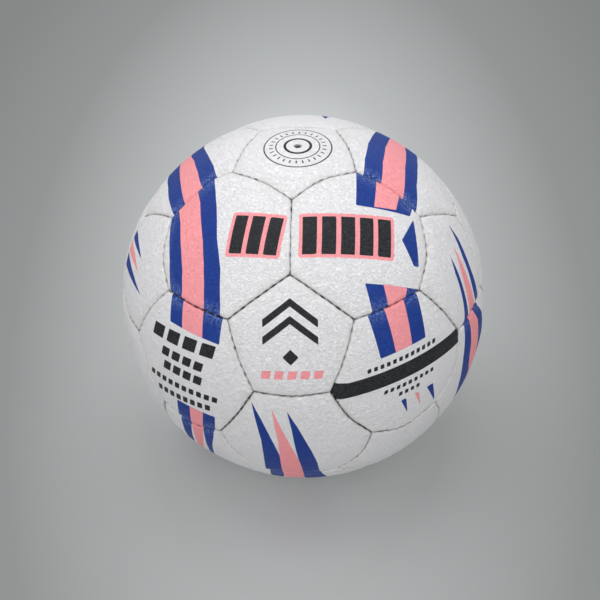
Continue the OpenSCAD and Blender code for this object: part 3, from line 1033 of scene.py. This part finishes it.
# The ways across the two sets of yarns, and the turn of their waves in radians in a metre
YARN_WAYS, YARN_WAVES = ((1.0, 0.4, 0.3), (-0.4, 1.0, 0.5)), 9000.0


def thread():
    made, tree, spot = new_material("waxed_thread")
    fibres = noise(tree, spot, FIBRE_SCALE, 2.0)
    colour = blend(tree, ramp(tree, fibres, 0.3, 0.7), linear(206, 202, 192), linear(238, 236, 230))
    surface(tree, colour, 0.6, height=fibres, strength=0.4, depth=0.0001)
    return made


def cloth():
    made, tree, spot = new_material("lining_cloth")
    yarns = []
    for way in YARN_WAYS:
        run = vector_node(tree, "DOT_PRODUCT", spot, way, output="Value")
        wave = math_node(tree, "SINE", times(tree, run, YARN_WAVES))
        yarns.append(math_node(tree, "ABSOLUTE", wave))
    weave = times(tree, *yarns)
    colour = blend(tree, weave, linear(150, 140, 120), linear(206, 198, 178))
    surface(tree, colour, 0.85, height=weave, strength=0.5, depth=0.0002)
    return made


def rubber(name, dark, light, roughness):
    made, tree, spot = new_material(name)
    dust = noise(tree, spot, DUST_SCALE, 4.0)
    colour = blend(tree, ramp(tree, dust, 0.35, 0.7), dark, light)
    rough = ramp(tree, dust, 0.2, 0.8, roughness - 0.06, roughness + 0.08)
    surface(tree, colour, rough, height=dust, strength=0.2, depth=0.0001)
    return made


thread_material = thread()
cloth_material = cloth()
bladder_material = rubber("bladder_rubber", linear(24, 24, 26), linear(44, 44, 46), 0.6)
valve_material = rubber("valve_rubber", linear(92, 94, 96), linear(126, 128, 130), 0.55)
core_material = rubber("core_rubber", linear(20, 20, 22), linear(38, 38, 40), 0.6)

# %% Give the inside pieces their materials
INSIDE = {"lining_pentagons": cloth_material, "lining_hexagons": cloth_material,
          "bladder": bladder_material, "valve_patch": bladder_material,
          "valve_housing": valve_material, "valve_core": core_material}
for name, material in INSIDE.items():
    mesh = nodes[name].data
    mesh.materials.clear()
    mesh.materials.append(material)
print("inside pieces:", sorted(INSIDE))


# %% Sew the stitches
# In metres, and the most that a bite is tilted in radians
BITE = {"Thread diameter": 0.0009, "Bite length": 0.0024, "Unevenness": 0.12}


def sew(name, pentagon_seams, seed):
    """One mesh of all the bites of thread in one kind of seam."""
    spots, directions = stitch_points(pentagon_seams)
    mesh = bpy.data.meshes.new(name)
    mesh.from_pydata((spots / 1000).tolist(), [], [])
    for key, vectors in directions.items():
        attribute = mesh.attributes.new(key, "FLOAT_VECTOR", "POINT")
        attribute.data.foreach_set("vector", vectors.astype(np.float32).ravel())
    made = new_object(name, mesh)
    modifier = made.modifiers.new("sew", "NODES")
    modifier.node_group = sew_bites
    settings = {**BITE, "Seed": seed, "Thread": thread_material}
    for item in sew_bites.interface.items_tree:
        if item.name in settings:
            modifier[item.identifier] = settings[item.name]
    depsgraph = bpy.context.evaluated_depsgraph_get()
    plain = bpy.data.meshes.new_from_object(made.evaluated_get(depsgraph))
    made.modifiers.clear()
    made.data = plain
    print(name, "stitches:", len(spots), "faces:", len(plain.polygons))
    return made


stitches = {"thread_pentagon_seams": sew("stitches_pentagon_seams", True, 3),
            "thread_hexagon_seams": sew("stitches_hexagon_seams", False, 4)}

# %% [markdown]
# ## Put the dressed pieces in place of the CAD nodes
#
# Each dressed piece stands for one CAD node, which stays in the physics model but isn't shown.
# It rides on the ball's body.

# %% Ride and replace
for name, made in cover.items():
    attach(made, "root")
    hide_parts(name)
for name, made in stitches.items():
    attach(made, "root")
    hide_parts(name)
print("pieces placed:", len(cover) + len(stitches))

# %% [markdown]
# ## Floor, light and camera
#
# The ball stands on a pale grey floor with a painted pool of light: its tone is palest in the
# middle and falls off towards the corners. An even grey sky lights it from everywhere, a large soft
# lamp above shapes its top, and two weaker lamps in front, to the left and to the right, lift the
# lower panels. The camera was worked out from the corners of the panels in the photograph: it
# looks down at 37 degrees from 1.13 m through a long lens.

# %% Camera
# Angles in degrees, before the pattern's lean, a distance in metres, and places in pixels
CAMERA_TURN, CAMERA_HEIGHT, CAMERA_ROLL = 5.342, 39.925, -3.466
CAMERA_DISTANCE = 11.985 * BALL_R / 1000
PICTURE = 600
BALL_PIXEL = (303.77, 296.757)
FOCAL_PIXELS = 2163.727

facing = LEAN @ turn("Z", CAMERA_TURN) @ turn("X", 90 - CAMERA_HEIGHT) @ turn("Z", CAMERA_ROLL)
camera = new_object("camera", bpy.data.cameras.new("camera"))
camera.rotation_euler = Matrix(facing.tolist()).to_euler()
camera.location = facing[:, 2] * CAMERA_DISTANCE
camera.data.lens = FOCAL_PIXELS / PICTURE * camera.data.sensor_width
camera.data.shift_x = (PICTURE / 2 - BALL_PIXEL[0]) / PICTURE
camera.data.shift_y = (BALL_PIXEL[1] - PICTURE / 2) / PICTURE
bpy.context.scene.camera = camera
print("lens in mm:", round(camera.data.lens, 2))

# %% Floor
# Metres, but for FLOOR_BELOW in mm and FLOOR_TURN in degrees; the tones of the painted pool of
# light, pale in its middle and darker towards the corners, are (share of the way out of an ellipse,
# grey from 0 to 255)
FLOOR_HALF = 3.0
FLOOR_BELOW = 0.1
FLOOR_MIDDLE, FLOOR_TURN = (-0.012, 0.12), 3.3
FLOOR_REACH = (0.24, 0.62)
FLOOR_POOL_TONES = ((0.0, 222), (0.25, 203), (0.39, 176), (0.54, 159), (0.7, 139), (1.0, 126))


def floor_material():
    made, tree, spot = new_material("floor")
    moved = take(tree, "ShaderNodeMapping", {
        "Vector": spot, "Location": (*FLOOR_MIDDLE, 0), "Scale": (*FLOOR_REACH, 1),
        "Rotation": (0, 0, math.radians(FLOOR_TURN))}, vector_type="TEXTURE")
    # The painted pool of light: pale in the middle, darker towards the corners.
    tones = put(tree, "ShaderNodeValToRGB", {"Fac": flat_radius(tree, moved)})
    stops = tones.color_ramp.elements
    for place, tone in FLOOR_POOL_TONES[1:-1]:
        stops.new(place)
    for stop, (place, tone) in zip(stops, FLOOR_POOL_TONES):
        stop.position, stop.color = place, linear(tone, tone + 2, tone + 1)
    surface(tree, tones.outputs[0], 0.9, specular=0.1)
    return made


corners = np.array([(-1, -1), (1, -1), (1, 1), (-1, 1)]) * FLOOR_HALF * 1000
corners = np.column_stack([corners, np.full(4, -BALL_R - FLOOR_BELOW)])
floor = piece("floor", corners, [[0, 1, 2, 3]])
floor.data.materials.append(floor_material())
print("tones of the floor:", len(FLOOR_POOL_TONES))

# %% Lights
SKY_COLOUR, SKY_STRENGTH = (0.97, 0.98, 1.0, 1.0), 0.84
# Each lamp's place and width in metres, and its power in watts
LAMPS = {"top_softbox": ((-0.15, 0.25, 1.5), 1.6, 8.8),
         "left_fill": ((-0.8, -1.7, 0.42), 1.6, 7.5),
         "right_fill": ((1.1, -1.4, 0.3), 1.4, 5.5)}

world = bpy.data.worlds.new("studio")
world.use_nodes = True
sky = world.node_tree.nodes["Background"]
sky.inputs["Color"].default_value = SKY_COLOUR
sky.inputs["Strength"].default_value = SKY_STRENGTH
bpy.context.scene.world = world
for name, (spot, size, power) in LAMPS.items():
    lamp = bpy.data.lights.new(name, "AREA")
    lamp.shape, lamp.size, lamp.energy = "DISK", size, power
    holder = new_object(name, lamp)
    holder.location = spot
    holder.rotation_euler = (-Vector(spot)).to_track_quat("-Z", "Y").to_euler()
bpy.context.scene.view_settings.view_transform = "Standard"
print("lamps:", list(LAMPS))
